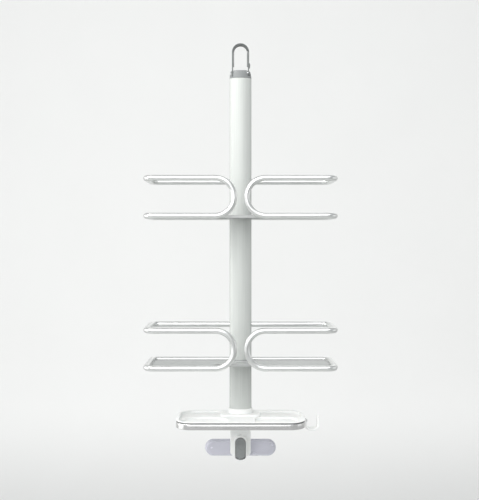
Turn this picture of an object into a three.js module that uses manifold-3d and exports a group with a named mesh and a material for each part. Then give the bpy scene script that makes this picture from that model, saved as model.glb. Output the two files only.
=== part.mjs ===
// A hanging shower caddy: a pole with two sliding wire shelves, a gated hook at the top, and a
// soap tray with a suction foot at the bottom. Millimetres, +Z up, the front faces -Y.
// The origin is the middle of the shower arm that the hook hangs on.
import * as THREE from "three";
import { mergeVertices } from "three/addons/utils/BufferGeometryUtils.js";
import Module from "manifold-3d";

const wasm = await Module();
wasm.setup();

// ---- Driving dimensions -------------------------------------------------------------------
const GAP = 0.3; // between pieces that touch
const WALL_Y = 25.75; // the wall's face
const fromWall = (distance) => WALL_Y - distance;

const POLE = { halfWidth: 18.5, halfDepth: 8.75, corner: 5, wall: 1.5, slotHalfWidth: 6 };
const POLE_TOP = -44;
const POLE_BOTTOM = -611;

const HOOK = { outer: 14.4, band: 2, liner: 1.2, halfDepth: 5, foot: -41, tip: 8 };
const CAP_TOP = -31;
const GATE = { x: 12.2, z: -35.6, hub: 3.8, top: 1.3 };

const TUBE = 4.75; // rail tube radius
const RAIL = {
  outerX: 155.5, // outside of the loops
  rear: fromWall(10),
  front: fromWall(105),
  corner: 12.75,
  spacing: 60, // upper to lower rail, so the front bend's radius is half of it
  bendX: 40, // where the front bend starts
  rootX: 4, // where the tube ends inside the carriage
};
const SHELF_HEIGHTS = { upper: -276.8, lower: -518.7 }; // lower rail of each unit

const PLATE = { top: 0.3, floor: 1.6, rimTop: 2.1, rimBottom: -2.8, rim: 1.6, notchFront: fromWall(71) };
const BUSH = 1.2;
const CARRIAGE = { halfWidth: 17, front: 9.15, rear: 22.3, above: 9 };
const BUTTON = { inner: 6, shoulder: 14.2, outer: 18.3, halfHeight: 8.2, padHalfHeight: 6 };

const TRAY = {
  halfWidth: 104,
  front: fromWall(108),
  rear: fromWall(12),
  frontCorner: 26,
  rearCorner: 28,
  lip: -604,
  floor: -609,
  base: -616,
};
const WELL = { front: -71, rear: -19, depth: 3.4, slotY: -66.5 };
const SEAL = { top: -605.2, bottom: -606.7, setBack: 0.25 };
const TRIM = { thickness: 2, top: SEAL.bottom - GAP, endY: -44.3 };
const COLLAR_TOP = -598;
const COLLAR_GROWTH = 2; // how far the collar stands out round the pole
const SIDE_HOOK = {
  left: 104.4,
  right: 128.5,
  bottom: -626,
  tip: -604.5,
  thickness: 3.3,
  bend: 9,
  y: -35,
  screwZ: -611,
};

const STEM = { halfWidth: 17.2, front: fromWall(34), rear: fromWall(13.75), bottom: -677.4 };
const BEZEL = { halfWidth: 10.75, top: -640.4, bottom: -681.4, front: fromWall(46) };
const LEVER = { halfWidth: 8.5, top: -643.4, bottom: -678.1, front: fromWall(47.2), thickness: 4.5 };
const PIVOT = { y: -16.5, z: -670.5, hub: 4.6 };
const CUP = { halfLength: 58.5, halfHeight: 12.3, z: -670.5, lip: 2 };
const PIN = 1.5; // radius of every hinge pin
const PIN_HOLE = PIN + GAP;
const SCREW_HOLE = 1.8;

// ---- Shape helpers ------------------------------------------------------------------------
const rad = THREE.MathUtils.degToRad;

/** Points along an elliptical arc, both ends included. */
function arc(cx, cy, rx, ry, from, to, steps) {
  return Array.from({ length: steps + 1 }, (_, i) => {
    const angle = rad(from + ((to - from) * i) / steps);
    return new THREE.Vector2(cx + rx * Math.cos(angle), cy + ry * Math.sin(angle));
  });
}

const circle = (cx, cy, r, sides = 16) => arc(cx, cy, r, r, 0, 360, sides).slice(0, -1);
const points = (...pairs) => pairs.map(([x, y]) => new THREE.Vector2(x, y));
const rectangle = (x0, y0, x1, y1) => points([x0, y0], [x1, y0], [x1, y1], [x0, y1]);

/** A rectangle with a radius for its low-y corners and another for its high-y corners. */
function roundedRectangle(x0, y0, x1, y1, low, high = low, steps = 6) {
  return [
    ...arc(x0 + low, y0 + low, low, low, 180, 270, steps),
    ...arc(x1 - low, y0 + low, low, low, 270, 360, steps),
    ...arc(x1 - high, y1 - high, high, high, 0, 90, steps),
    ...arc(x0 + high, y1 - high, high, high, 90, 180, steps),
  ];
}

/** A bar with fully round ends: long way is "x" or "y". */
function stadium(cx, cy, halfLength, halfWidth, way = "x", steps = 8) {
  const reach = halfLength - halfWidth;
  const outline = [
    ...arc(reach, 0, halfWidth, halfWidth, -90, 90, steps),
    ...arc(-reach, 0, halfWidth, halfWidth, 90, 270, steps),
  ];
  const turned = way === "x" ? outline : outline.map((p) => new THREE.Vector2(-p.y, p.x));
  return turned.map((p) => new THREE.Vector2(cx + p.x, cy + p.y));
}

/** A three.js geometry as a closed manifold solid. */
function toSolid(geometry) {
  const bare = geometry.clone();
  bare.deleteAttribute("normal");
  bare.deleteAttribute("uv");
  const merged = mergeVertices(bare, 1e-4);
  return new wasm.Manifold(
    new wasm.Mesh({
      numProp: 3,
      vertProperties: new Float32Array(merged.attributes.position.array),
      triVerts: new Uint32Array(merged.index.array),
    }),
  );
}

function toGeometry(solid) {
  const mesh = solid.getMesh();
  const geometry = new THREE.BufferGeometry();
  geometry.setAttribute("position", new THREE.BufferAttribute(mesh.vertProperties, 3));
  geometry.setIndex(new THREE.BufferAttribute(mesh.triVerts, 1));
  geometry.computeVertexNormals();
  return geometry;
}

// Each basis takes an outline's x, its y and its extrusion to three world directions.
const AXIS = {
  x: new THREE.Vector3(1, 0, 0),
  y: new THREE.Vector3(0, 1, 0),
  z: new THREE.Vector3(0, 0, 1),
};
const BASIS = {
  x: new THREE.Matrix4().makeBasis(AXIS.y, AXIS.z, AXIS.x), // outline in (y, z)
  y: new THREE.Matrix4().makeBasis(AXIS.x, AXIS.z, AXIS.y.clone().negate()), // outline in (x, z)
  z: new THREE.Matrix4(), // outline in (x, y)
};

/** An outline extruded along a world axis, from one coordinate on that axis to another. */
function prism(axis, outline, from, to) {
  const options = { depth: to - from, bevelEnabled: false };
  const geometry = new THREE.ExtrudeGeometry(new THREE.Shape(outline), options);
  geometry.applyMatrix4(BASIS[axis]);
  const start = axis === "y" ? to : from;
  geometry.translate(...AXIS[axis].clone().multiplyScalar(start).toArray());
  return toSolid(geometry);
}

const box = (x0, y0, z0, x1, y1, z1) => prism("z", rectangle(x0, y0, x1, y1), z0, z1);
const joined = (...solids) => solids.reduce((sum, solid) => sum.add(solid));
const cut = (solid, ...tools) => tools.reduce((left, tool) => left.subtract(tool), solid);

/** The same outline on the other side of the middle, wound the same way round. */
const mirrored = (outline) => outline.map((p) => new THREE.Vector2(-p.x, p.y)).reverse();

/** A curve through given stations, one extrusion step from each to the next. */
class StationPath extends THREE.Curve {
  constructor(stations) {
    super();
    this.stations = stations;
  }

  getPoint(t) {
    const last = this.stations.length - 1;
    return this.stations[Math.min(last, Math.max(0, Math.round(t * last)))].clone();
  }

  getPointAt(u) {
    return this.getPoint(u);
  }

  getTangent(t) {
    const step = 1 / (this.stations.length - 1);
    return this.getPoint(t + step).sub(this.getPoint(t - step)).normalize();
  }

  getTangentAt(u) {
    return this.getTangent(u);
  }
}

/** A round bar along its stations. */
function bar(stations, radius, sides) {
  const geometry = new THREE.ExtrudeGeometry(new THREE.Shape(circle(0, 0, radius, sides)), {
    steps: stations.length - 1,
    extrudePath: new StationPath(stations),
    bevelEnabled: false,
  });
  return toSolid(geometry);
}

/** A coil spring's bar round a world axis. */
function coil(axis, centre, from, to, radius, wire, turns, stepsPerTurn = 8) {
  const count = turns * stepsPerTurn;
  const stations = Array.from({ length: count + 1 }, (_, i) => {
    const angle = (2 * Math.PI * i) / stepsPerTurn;
    const along = from + wire + ((to - from - 2 * wire) * i) / count;
    const across = new THREE.Vector3(radius * Math.cos(angle), radius * Math.sin(angle), 0);
    const place = across.applyMatrix4(BASIS[axis]);
    place[axis] += along;
    return place.add(centre);
  });
  return bar(stations, wire, 5);
}

/** A pan-head screw. The head's underside is at the origin and the shank points along -Z. */
function screw(headRadius, headHeight, shankRadius, length) {
  const profile = points(
    [0, -length],
    [shankRadius, -length],
    [shankRadius, 0],
    [headRadius, 0],
    [headRadius, headHeight * 0.6],
    [headRadius * 0.45, headHeight],
    [headRadius * 0.45, headHeight * 0.4],
    [0, headHeight * 0.4],
  );
  return new THREE.LatheGeometry(profile, 8).rotateX(Math.PI / 2);
}

// ---- Materials ----------------------------------------------------------------------------
function finish(color, roughness, metalness) {
  return () => new THREE.MeshStandardMaterial({ color, roughness, metalness });
}

const anodised = finish(0xd6d9d6, 0.35, 0.9);
const polished = finish(0xe6e6e4, 0.12, 1);
const satinSheet = finish(0xc3c6c4, 0.45, 0.8);
const greyMetal = finish(0x8c908f, 0.4, 0.8);
const steel = finish(0xb4b6b8, 0.3, 1);
const whitePlastic = finish(0xedeeeb, 0.3, 0);
const greyPlastic = finish(0x7d7f81, 0.45, 0);
const rubber = finish(0x6a6d6d, 0.8, 0);
const clearVinyl = finish(0xc4c4ce, 0.15, 0);

const caddy = new THREE.Group();

/** Adds a named piece, from a solid or a geometry, to a group. */
function piece(name, shape, material, group = caddy) {
  const geometry = shape.isBufferGeometry ? shape : toGeometry(shape);
  const mesh = new THREE.Mesh(geometry, material());
  mesh.name = name;
  group.add(mesh);
  return mesh;
}

// ---- Pole ---------------------------------------------------------------------------------
/** The pole's D section, grown outwards by an amount: flat back, half-ellipse front. */
function poleOutline(grow = 0) {
  const { halfWidth, halfDepth, corner } = POLE;
  const centreY = halfDepth - corner;
  const cornerX = halfWidth - corner;
  const r = corner + grow;
  return [
    ...arc(0, centreY, halfWidth + grow, halfDepth + centreY + grow, 180, 360, 20),
    ...arc(cornerX, centreY, r, r, 0, 90, 4).slice(1),
    ...arc(-cornerX, centreY, r, r, 90, 180, 4).slice(0, -1),
  ];
}

function makePole() {
  const { halfDepth, wall, slotHalfWidth } = POLE;
  return cut(
    prism("z", poleOutline(), POLE_BOTTOM, POLE_TOP),
    prism("z", poleOutline(-wall), POLE_BOTTOM - 1, POLE_TOP + 1),
    box(-slotHalfWidth, halfDepth - 2 * wall, POLE_BOTTOM - 1, slotHalfWidth, halfDepth + 1, POLE_TOP + 1),
  );
}

// ---- Head: cap, hook and gate ---------------------------------------------------------------
const hookInner = HOOK.outer - HOOK.band;
const linerOuter = hookInner - GAP;
const linerInner = linerOuter - HOOK.liner;
const HOOK_SCREW_Z = -37;

/** A hook band in the (x, z) plane: a left leg up to an arch that ends at an angle on the right. */
function hookBand(outer, inner, legBottom, tipAngle) {
  return [
    new THREE.Vector2(-outer, legBottom),
    new THREE.Vector2(-inner, legBottom),
    ...arc(0, 0, inner, inner, 180, tipAngle, 18),
    ...arc(0, 0, outer, outer, tipAngle, 180, 20),
  ];
}

function makeHook() {
  return cut(
    prism("y", hookBand(HOOK.outer, hookInner, HOOK.foot, HOOK.tip), -HOOK.halfDepth, HOOK.halfDepth),
    prism("x", circle(0, HOOK_SCREW_Z, SCREW_HOLE, 12), -HOOK.outer - 1, -hookInner + 1),
  );
}

const linerHalfDepth = HOOK.halfDepth - 0.4;
const LINER_BOTTOM = -24;

function makeHookGrip() {
  const band = hookBand(linerOuter, linerInner, LINER_BOTTOM, 12);
  return prism("y", band, -linerHalfDepth, linerHalfDepth);
}

function makeNeckCap() {
  const base = POLE_TOP + GAP;
  const rightEdge = points([18.4, base], [18, -38], [16.2, CAP_TOP]);
  const silhouette = prism("y", [...rightEdge, ...mirrored(rightEdge)], -12, 12);
  const head = prism("z", poleOutline(), base, CAP_TOP).intersect(silhouette);
  const plug = prism("z", poleOutline(-POLE.wall - 0.4), POLE_TOP - 16, base + 1);
  const slotDepth = HOOK.halfDepth + GAP;
  return cut(
    joined(head, plug),
    box(-HOOK.outer - GAP, -slotDepth, HOOK.foot - GAP, -hookInner + GAP, slotDepth, CAP_TOP + 1),
    box(7.8, -slotDepth, -40, 20, slotDepth, CAP_TOP + 1),
    prism("y", circle(GATE.x, GATE.z, PIN_HOLE), -12, 12),
    prism("x", circle(0, HOOK_SCREW_Z, SCREW_HOLE, 12), -20, -6.5),
    prism("x", circle(0, HOOK_SCREW_Z, 3.1), -20, -15.8), // counterbore for the head
  );
}

function makeGate() {
  const { x, z, hub, top } = GATE;
  const strap = prism("y", rectangle(hookInner, z, HOOK.outer, top), -HOOK.halfDepth, HOOK.halfDepth);
  const thumbLug = prism(
    "y",
    points(
      [HOOK.outer - 0.5, -27],
      [HOOK.outer + 1.2, -26],
      [HOOK.outer + 1.9, -22],
      [HOOK.outer - 0.5, -18],
    ),
    -HOOK.halfDepth,
    HOOK.halfDepth,
  );
  const springRoom = prism("y", circle(x, z, hub + 0.2), 1.5, HOOK.halfDepth + 1);
  return cut(
    joined(cut(strap, springRoom), thumbLug, prism("y", circle(x, z, hub, 20), -HOOK.halfDepth, 1.2)),
    prism("y", circle(x, z, PIN_HOLE), -12, 12),
  );
}

function makeGateGrip() {
  const strip = rectangle(linerInner, LINER_BOTTOM, linerOuter, -0.5);
  return prism("y", strip, -linerHalfDepth, linerHalfDepth);
}

piece("pole", makePole(), anodised);
piece("neck_cap", makeNeckCap(), greyPlastic);
piece("hanger_hook", makeHook(), greyMetal);
piece("hook_grip", makeHookGrip(), rubber);
piece("ring_gate", makeGate(), greyMetal);
piece("gate_grip", makeGateGrip(), rubber);
piece("gate_pin", prism("y", circle(GATE.x, GATE.z, PIN, 12), -8.2, 8.2), steel);
piece("gate_spring", coil("y", new THREE.Vector3(GATE.x, 0, GATE.z), 1.6, 4.9, 2.5, 0.4, 3), steel);
const hookScrew = piece("hook_screw", screw(2.6, 1.4, 1.45, 9), steel);
hookScrew.rotation.y = -Math.PI / 2;
hookScrew.position.set(-16.1, 0, HOOK_SCREW_Z);

// ---- Shelf units ----------------------------------------------------------------------------
/** One rail's centre line: rear, round the side, the front bend, and back below. Side is +1 or -1. */
function railStations(side) {
  const { outerX, rear, front, corner, spacing, bendX, rootX } = RAIL;
  const cornerX = outerX - TUBE - corner;
  const plan = [
    new THREE.Vector2(rootX, rear),
    ...arc(cornerX, rear - corner, corner, corner, 90, 0, 4),
    ...arc(cornerX, front + corner, corner, corner, 0, -90, 4),
  ];
  const level = (z) => plan.map((p) => new THREE.Vector3(p.x, p.y, z));
  const bend = arc(bendX, spacing / 2, spacing / 2, spacing / 2, 90, 270, 12).map(
    (p) => new THREE.Vector3(p.x, front, p.y),
  );
  const loop = [...level(spacing), ...bend, ...level(0).reverse()];
  return loop.map((p) => new THREE.Vector3(side * p.x, p.y, p.z));
}

/** The plate's outline, drawn inwards by an inset: notched round the pole, set back in the middle. */
function plateOutline(inset) {
  const rear = RAIL.rear - TUBE - GAP - inset;
  const front = RAIL.front + TUBE + GAP + inset;
  const sideX = RAIL.outerX - 2 * TUBE - GAP - inset;
  const corner = RAIL.corner - TUBE - GAP - inset;
  const notchX = POLE.halfWidth + BUSH + 0.7 + inset;
  const notchY = -POLE.halfDepth - BUSH - 0.7 - inset;
  const frontCurve = new THREE.CubicBezierCurve(
    new THREE.Vector2(56 + inset, front),
    new THREE.Vector2(44 + inset, front),
    new THREE.Vector2(46, PLATE.notchFront + inset),
    new THREE.Vector2(30, PLATE.notchFront + inset),
  );
  const right = [
    ...arc(0, 3.75, notchX, 3.75 - notchY, -90, 0, 8).slice(1),
    new THREE.Vector2(notchX, rear),
    ...arc(sideX - corner, rear - corner, corner, corner, 90, 0, 4),
    ...arc(sideX - corner, front + corner, corner, corner, 0, -90, 4),
    ...frontCurve.getPoints(6),
  ];
  return [new THREE.Vector2(0, notchY), ...right, ...mirrored(right)].reverse();
}

// Two rows of drain slots close behind the front rails.
function drainSlots() {
  const rows = [-66, -57];
  const columns = [-116, -76, 76, 116];
  const slot = (x, y) => prism("z", stadium(x, y, 17, 2, "x", 3), -4, 4);
  return rows.flatMap((y) => columns.map((x) => slot(x, y)));
}

function makePlate() {
  const { top, floor, rimTop, rimBottom, rim } = PLATE;
  return cut(
    prism("z", plateOutline(0), rimBottom, rimTop),
    prism("z", plateOutline(rim), top, rimTop + 1),
    prism("z", plateOutline(rim), rimBottom - 1, top - floor),
    ...drainSlots(),
  );
}

/** The plastic liner of the notch: a U round the pole's front and sides. */
function makeBush() {
  const clearance = 0.4;
  const centreY = POLE.halfDepth - POLE.corner;
  const band = (grow, rear) => {
    const x = POLE.halfWidth + grow;
    return [
      ...arc(0, centreY, x, POLE.halfDepth + centreY + grow, 180, 360, 20),
      ...points([x, rear], [-x, rear]),
    ];
  };
  return cut(
    prism("z", band(BUSH + clearance, 10), PLATE.rimBottom, PLATE.rimTop + 0.6),
    prism("z", band(clearance, 11), PLATE.rimBottom - 1, PLATE.rimTop + 2),
  );
}

const buttonZ = RAIL.spacing / 2;
const buttonY = { front: 13, rear: 21.9, padFront: 13.8, padRear: 21.2 };
const jawHalfHeight = 5.5;
const coverScrewHeights = { low: 12, high: 48 };
const GRUB_X = 10;

function makeCarriage() {
  const { halfWidth, front, rear, above } = CARRIAGE;
  const { shoulder, halfHeight, padHalfHeight } = BUTTON;
  const rearLip = POLE.halfDepth - POLE.wall;
  const block = prism(
    "y",
    roundedRectangle(-halfWidth, -above, halfWidth, RAIL.spacing + above, 4, 4, 4),
    front,
    rear,
  );
  const tongue = (z) =>
    joined(
      box(-POLE.slotHalfWidth + 0.4, rearLip - 1, z - 8, POLE.slotHalfWidth - 0.4, front + 1, z + 8),
      box(-8.5, rearLip - 3, z - 8, 8.5, rearLip - GAP, z + 8),
    );
  const bore = (z) => prism("x", circle(RAIL.rear, z, TUBE + GAP, 16), -halfWidth - 1, halfWidth + 1);
  const grubHole = (x, z0, z1) => prism("z", circle(x, RAIL.rear, 2.3, 10), z0, z1);
  const coverHole = (z) => prism("y", circle(0, z, SCREW_HOLE, 10), rear - 7, rear + 1);
  const room = (x, y0, y1, halfZ) => box(-x, y0, buttonZ - halfZ, x, y1, buttonZ + halfZ);
  return cut(
    joined(block, tongue(2), tongue(RAIL.spacing - 2)),
    bore(0),
    bore(RAIL.spacing),
    room(shoulder + GAP, buttonY.front - 0.4, rear + 1, halfHeight + GAP),
    room(halfWidth + 1, buttonY.padFront - GAP, buttonY.padRear + GAP, padHalfHeight + GAP),
    room(7, front - 1, buttonY.front, jawHalfHeight + GAP),
    ...[-GRUB_X, GRUB_X].map((x) => grubHole(x, -above - 1, -4)),
    ...[-GRUB_X, GRUB_X].map((x) => grubHole(x, RAIL.spacing + 4, RAIL.spacing + above + 1)),
    ...Object.values(coverScrewHeights).map(coverHole),
  );
}

/** A pinch button: a pad at the side, a shouldered body, and a jaw that reaches into the channel. */
function makeButton(side) {
  const { inner, shoulder, outer, halfHeight, padHalfHeight } = BUTTON;
  const { front, rear, padFront, padRear } = buttonY;
  const jaw = { inner: 3.2, outer: 5.7, front: POLE.halfDepth - POLE.wall + GAP };
  const block = (x0, y0, x1, y1, half) => box(x0, y0, buttonZ - half, x1, y1, buttonZ + half);
  const right = cut(
    joined(
      block(inner, front, shoulder, rear, halfHeight),
      block(shoulder - 1, padFront, outer, padRear, padHalfHeight),
      block(jaw.inner, jaw.front, jaw.outer, front + 2, jawHalfHeight),
      block(jaw.inner, front - 0.1, inner + 1, front + 1.6, jawHalfHeight),
    ),
    prism("x", circle(18, buttonZ, 3.1, 12), inner - 1, 10.5), // the spring's pocket
  );
  return side > 0 ? right : right.mirror([1, 0, 0]);
}

function makeShelfUnit(unit, height) {
  const group = new THREE.Group();
  group.position.z = height;
  const add = (name, shape, material) => piece(`${unit}_${name}`, shape, material, group);
  const { rear, above } = CARRIAGE;

  add("left_rail", bar(railStations(-1), TUBE, 8), anodised);
  add("right_rail", bar(railStations(1), TUBE, 8), anodised);
  add("shelf_plate", makePlate(), satinSheet);
  add("pole_bush", makeBush(), greyPlastic);
  add("carriage", makeCarriage(), greyPlastic);
  const coverX = CARRIAGE.halfWidth - 0.4;
  const coverZ = [0.4 - above, RAIL.spacing + above - 0.4];
  const coverOutline = roundedRectangle(-coverX, coverZ[0], coverX, coverZ[1], 3.6, 3.6, 4);
  const coverHoles = Object.values(coverScrewHeights).map((z) =>
    prism("y", circle(0, z, SCREW_HOLE, 10), rear, rear + 3),
  );
  const cover = cut(prism("y", coverOutline, rear + GAP, rear + 1.5), ...coverHoles);
  add("carriage_cover", cover, greyPlastic);
  add("left_button", makeButton(-1), greyPlastic);
  add("right_button", makeButton(1), greyPlastic);
  const springCentre = new THREE.Vector3(0, 18, buttonZ);
  add("button_spring", coil("x", springCentre, -7.4, 7.4, 2.3, 0.4, 5), steel);

  for (const [place, z] of Object.entries(coverScrewHeights)) {
    const coverScrew = add(`${place}_cover_screw`, screw(2.6, 1.1, 1.4, 6), steel);
    coverScrew.rotation.x = -Math.PI / 2;
    coverScrew.position.set(0, rear + 1.7, z);
  }
  for (const [side, x] of [["left", -GRUB_X], ["right", GRUB_X]]) {
    const grubOutline = circle(x, RAIL.rear, 1.9, 10);
    const top = RAIL.spacing;
    add(`${side}_low_grub_screw`, prism("z", grubOutline, -above + 0.5, -TUBE - GAP), steel);
    add(`${side}_high_grub_screw`, prism("z", grubOutline, top + TUBE + GAP, top + above - 0.5), steel);
  }
  caddy.add(group);
}

for (const [unit, height] of Object.entries(SHELF_HEIGHTS)) makeShelfUnit(unit, height);

// ---- Tray -----------------------------------------------------------------------------------
const trimInner = TRIM.thickness + GAP;

/** The tray's outline, drawn in from the outside of its lip. */
function trayOutline(inset) {
  const { halfWidth, front, rear, frontCorner, rearCorner } = TRAY;
  const x = halfWidth - inset;
  const corners = [frontCorner - inset, rearCorner - inset];
  return roundedRectangle(-x, front + inset, x, rear - inset, ...corners, 6);
}

// A round-ended well for soap on the left and a squarer one on the right.
const wells = [
  { x: -58, halfX: 38, corner: 24, slotOffsets: [-11, 11] },
  { x: 58, halfX: 34, corner: 12.8, slotOffsets: [-11, 11] },
];
const TRAY_SCREW_X = 25;

function wellSolid({ x, halfX, corner }, grow, z0, z1) {
  const { front, rear } = WELL;
  const reach = halfX + grow;
  const r = corner + grow;
  return prism("z", roundedRectangle(x - reach, front - grow, x + reach, rear + grow, r, r, 4), z0, z1);
}

function makeTray() {
  const { lip, floor, base, rear, halfWidth } = TRAY;
  const wall = trimInner + 2.4;
  const under = floor - 2;
  const shoulder = SEAL.top + GAP;
  const platformOutline = (rearY) => roundedRectangle(-33, -17, 33, rearY, 8, 1, 4);
  const body = cut(
    joined(
      prism("z", trayOutline(trimInner), base, shoulder + 0.1),
      prism("z", trayOutline(0), shoulder, lip),
    ),
    prism("z", trayOutline(wall), floor, lip + 1),
    prism("z", trayOutline(wall), base - 1, under),
  );
  const platform = prism("z", platformOutline(rear - wall + 1), floor - 1, floor + 3);
  const collar = prism("z", poleOutline(COLLAR_GROWTH), floor, COLLAR_TOP);
  const wellBottoms = wells.map((well) => wellSolid(well, 2, floor - WELL.depth - 2, under + 1));
  const wellCuts = wells.map((well) =>
    cut(wellSolid(well, 0, floor - WELL.depth, floor + 2), prism("z", platformOutline(rear), base, lip)),
  );
  const drain = (x) => prism("z", stadium(x, WELL.slotY, 8, 1.75, "x", 3), base - 1, floor);
  const drains = wells.flatMap(({ x, slotOffsets }) => slotOffsets.map((offset) => drain(x + offset)));
  const screwHole = (x) => prism("z", circle(x, 0, SCREW_HOLE, 10), base, floor + 1.6);
  const sideScrewHole = circle(SIDE_HOOK.y, SIDE_HOOK.screwZ, SCREW_HOLE, 10);
  return cut(
    joined(body, ...wellBottoms, platform, collar),
    ...wellCuts,
    ...drains,
    prism("z", poleOutline(0.4), base - 1, COLLAR_TOP + 1),
    screwHole(-TRAY_SCREW_X),
    screwHole(TRAY_SCREW_X),
    prism("x", sideScrewHole, halfWidth - wall - 2, halfWidth + 1),
  );
}

/** A band round the front and both front corners, ending a little way along the sides. */
function makeFrontBand(setBack, bottom, top) {
  const { thickness, endY } = TRIM;
  const { halfWidth, front, frontCorner: r } = TRAY;
  const path = (inset) => [
    new THREE.Vector2(-halfWidth + inset, endY),
    ...arc(-halfWidth + r, front + r, r - inset, r - inset, 180, 270, 8),
    ...arc(halfWidth - r, front + r, r - inset, r - inset, 270, 360, 8),
    new THREE.Vector2(halfWidth - inset, endY),
  ];
  return prism("z", [...path(setBack), ...path(thickness).reverse()], bottom, top);
}

// ---- Side hook ------------------------------------------------------------------------------
function makeSideHook() {
  const { left, right, bottom, tip, thickness: t, bend, y, screwZ } = SIDE_HOOK;
  const floor = bottom + bend;
  const outline = [
    new THREE.Vector2(left, tip),
    ...arc(left + bend, floor, bend, bend, 180, 270, 6),
    ...arc(right - bend, floor, bend, bend, 270, 360, 6),
    ...arc(right - t / 2, tip, t / 2, t / 2, 0, 180, 6),
    ...arc(right - bend, floor, bend - t, bend - t, 360, 270, 6),
    ...arc(left + bend, floor, bend - t, bend - t, 270, 180, 6),
    new THREE.Vector2(left + t, tip),
  ];
  const pad = box(TRAY.halfWidth - trimInner + GAP, y - 7, -615, left + 1, y + 7, SEAL.top);
  const screwHole = prism("x", circle(y, screwZ, SCREW_HOLE, 10), 90, left + t + 1);
  return cut(joined(prism("y", outline, y - 7, y + 7), pad), screwHole);
}

piece("tray", makeTray(), whitePlastic);
piece("tray_trim", makeFrontBand(0, TRAY.base, TRIM.top), polished);
piece("tray_seal", makeFrontBand(SEAL.setBack, SEAL.bottom, SEAL.top), rubber);
piece("side_hook", makeSideHook(), whitePlastic);
const sideScrew = piece("side_hook_screw", screw(2.8, 1.4, 1.45, 9), steel);
sideScrew.rotation.y = Math.PI / 2;
sideScrew.position.set(SIDE_HOOK.left + SIDE_HOOK.thickness + GAP, SIDE_HOOK.y, SIDE_HOOK.screwZ);

// ---- Suction foot ---------------------------------------------------------------------------
const FLANGE = { halfWidth: 30, rear: 8.6, top: POLE_BOTTOM - GAP, thickness: 3 };
const STEM_HOLE = 3.4;
const PLUNGER_TRAVEL = 2.5;

/** An upright bar outline with round ends, for the bezel and the lever. */
const uprightPill = (top, bottom, halfWidth, steps = 10) =>
  stadium(0, (top + bottom) / 2, (top - bottom) / 2, halfWidth, "y", steps);

function makeHousing() {
  const { halfWidth, front, rear, bottom } = STEM;
  const stemTop = TRAY.base - GAP;
  const stem = prism("y", roundedRectangle(-halfWidth, bottom, halfWidth, stemTop, 8, 0.5, 5), front, rear);
  const neck = box(-halfWidth, front, stemTop - 1, halfWidth, FLANGE.rear, FLANGE.top - 1);
  const flangeBase = FLANGE.top - FLANGE.thickness;
  const flange = box(-FLANGE.halfWidth, -14, flangeBase, FLANGE.halfWidth, FLANGE.rear, FLANGE.top);
  const plug = prism("z", poleOutline(-POLE.wall - 0.4), FLANGE.top - 1, FLANGE.top + 22);
  const bezel = prism("y", uprightPill(BEZEL.top, BEZEL.bottom, BEZEL.halfWidth), BEZEL.front, front + 2);
  const recessX = LEVER.halfWidth + 0.4;
  const recess = uprightPill(LEVER.top + 0.4, LEVER.bottom - 0.4, recessX);
  // The lever's lower end swings through this pocket, whose floor is a half-ellipse.
  const pocketTop = -661;
  const pocket = [
    ...arc(0, PIVOT.z - 4.6, recessX, 4.8, 180, 360, 20),
    ...points([recessX, pocketTop], [-recessX, pocketTop]),
  ];
  const pocketRear = PIVOT.y + 9.4 + PLUNGER_TRAVEL;
  const screwHole = (x) => prism("z", circle(x, 0, SCREW_HOLE, 10), flangeBase - 2, FLANGE.top + 2);
  return cut(
    joined(stem, neck, flange, plug, bezel),
    prism("y", recess, BEZEL.front - 1, PIVOT.y),
    prism("y", pocket, BEZEL.front - 1, pocketRear),
    prism("y", circle(0, PIVOT.z, STEM_HOLE), PIVOT.y, rear + 1),
    screwHole(-TRAY_SCREW_X),
    screwHole(TRAY_SCREW_X),
  );
}

function makeLever() {
  const { top, bottom, halfWidth, front, thickness } = LEVER;
  const slotX = STEM_HOLE; // the slot straddles the plunger's eye
  return cut(
    joined(
      prism("y", uprightPill(top, bottom, halfWidth), front, front + thickness),
      prism("x", circle(PIVOT.y, PIVOT.z, PIVOT.hub, 20), -halfWidth + 0.6, halfWidth - 0.6),
    ),
    box(-slotX, front + 1.4, bottom - 1, slotX, PIVOT.y + PIVOT.hub + 1, PIVOT.z + 5),
    prism("x", circle(PIVOT.y, PIVOT.z, PIN_HOLE), -halfWidth - 1, halfWidth + 1),
  );
}

function makePlunger() {
  const eye = prism("x", circle(PIVOT.y, PIVOT.z, 3.3, 16), -3, 3);
  const stem = prism("y", circle(0, PIVOT.z, 3), PIVOT.y, 20);
  const head = prism("y", circle(0, PIVOT.z, 7, 20), 19.6, 21.6);
  return cut(joined(eye, stem, head), prism("x", circle(PIVOT.y, PIVOT.z, PIN_HOLE), -8, 8));
}

function makeCup() {
  const { halfLength, halfHeight, z, lip } = CUP;
  const boss = prism("y", roundedRectangle(-17, z - 9, 17, z + 9, 5, 5, 5), STEM.rear + GAP, 18);
  return cut(
    joined(
      prism("y", stadium(0, z, halfLength + lip, halfHeight + lip, "x", 10), WALL_Y - 1.6, WALL_Y),
      prism("y", stadium(0, z, halfLength, halfHeight, "x", 10), 17, WALL_Y - 1.5),
      boss,
    ),
    prism("y", stadium(0, z, 52, 8, "x", 8), WALL_Y - 3, WALL_Y + 1),
    prism("y", circle(0, z, 7.6, 20), 19.2, WALL_Y + 1),
    prism("y", circle(0, z, STEM_HOLE), STEM.rear, WALL_Y),
  );
}

piece("suction_housing", makeHousing(), whitePlastic);
piece("suction_lever", makeLever(), greyPlastic);
piece("lever_pin", prism("x", circle(PIVOT.y, PIVOT.z, PIN, 12), -7.6, 7.6), steel);
piece("plunger", makePlunger(), steel);
piece("suction_cup", makeCup(), clearVinyl);
for (const [side, x] of [["left", -TRAY_SCREW_X], ["right", TRAY_SCREW_X]]) {
  const trayScrew = piece(`${side}_tray_screw`, screw(2.8, 1.2, 1.45, 5.8), steel);
  trayScrew.rotation.x = Math.PI;
  trayScrew.position.set(x, 0, FLANGE.top - FLANGE.thickness - GAP);
}

export default caddy;
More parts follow.
